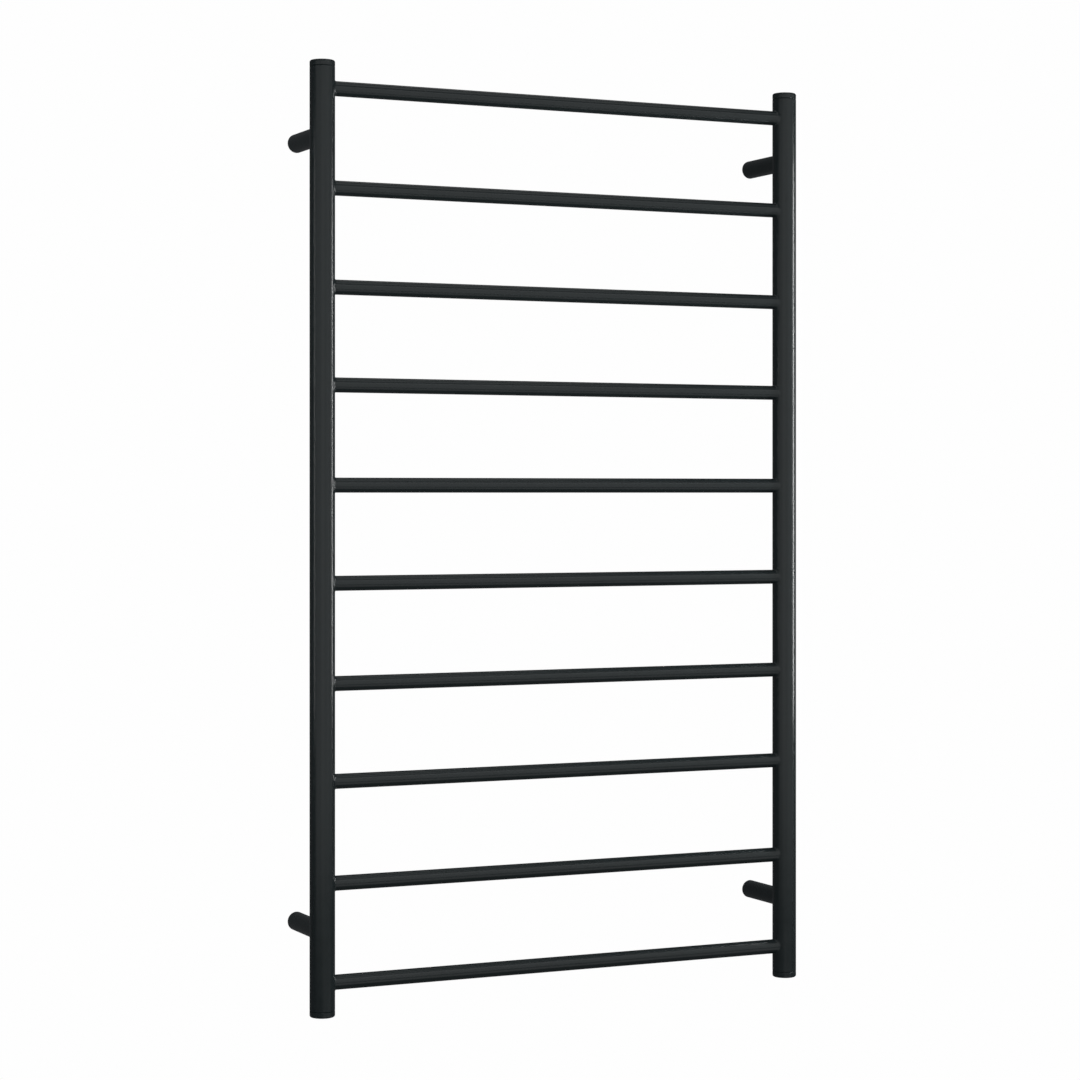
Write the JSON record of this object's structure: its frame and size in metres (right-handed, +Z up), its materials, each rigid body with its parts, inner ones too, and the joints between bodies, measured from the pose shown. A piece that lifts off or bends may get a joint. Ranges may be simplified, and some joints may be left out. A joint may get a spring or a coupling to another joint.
{
  "type": "towel warmer rack",
  "caption": "Wall-hung electric heated towel ladder: round black uprights joined by round cross bars, on round standoff posts with concealed wiring.",
  "frame": {"origin": "centre of the four wall-screw holes, on the wall plane", "axes": "+X along the bars to the viewer's right, +Y into the wall, +Z up; the front faces -Y"},
  "size_m": [0.7, 0.111, 1.2],
  "materials": {
    "black_powder_coat": "satin black powder coat",
    "black_rubber": "moulded",
    "black_oxide_steel": "black oxide",
    "stainless_steel": "turned",
    "brass": "turned",
    "cream_plastic": "moulded",
    "red_silicone": "extruded silicone",
    "brown_pvc": "extruded",
    "blue_pvc": "extruded",
    "green_pvc": "extruded, green with a yellow stripe",
    "heat_shrink": "shrunk sleeve"
  },
  "bodies": {
    "root": {"bar_01": "black_powder_coat", "bar_02": "black_powder_coat", "bar_03": "black_powder_coat", "bar_04": "black_powder_coat", "bar_05": "black_powder_coat", "bar_06": "black_powder_coat", "bar_07": "black_powder_coat", "bar_08": "black_powder_coat", "bar_09": "black_powder_coat", "bar_10": "black_powder_coat", "cable_grommet": "black_rubber", "cable_splice": "heat_shrink", "cap_o_ring_bottom_left": "black_rubber", "cap_o_ring_bottom_right": "black_rubber", "cap_o_ring_top_left": "black_rubber", "cap_o_ring_top_right": "black_rubber", "earth_lead": "green_pvc", "earth_tag": "brass", "end_cap_bottom_left": "black_powder_coat", "end_cap_bottom_right": "black_powder_coat", "end_cap_top_left": "black_powder_coat", "end_cap_top_right": "black_powder_coat", "grub_screws": "black_oxide_steel", "heating_cable": "red_silicone", "hollow_bolt": "brass", "hollow_bolt_insert": "stainless_steel", "live_lead": "brown_pvc", "neutral_lead": "blue_pvc", "post_inserts": "stainless_steel", "post_screws": "stainless_steel", "post_washers": "stainless_steel", "terminal_barrels": "brass", "terminal_block": "cream_plastic", "terminal_screws": "stainless_steel", "thermal_cutout": "heat_shrink", "upright_left": "black_powder_coat", "upright_right": "black_powder_coat", "wall_boss_bottom_left": "black_powder_coat", "wall_boss_bottom_right": "black_powder_coat", "wall_boss_top_left": "black_powder_coat", "wall_boss_top_right": "black_powder_coat", "wall_post_bottom_left": "black_powder_coat", "wall_post_bottom_right": "black_powder_coat", "wall_post_top_left": "black_powder_coat", "wall_post_top_right": "black_powder_coat"}
  },
  "joints": []
}
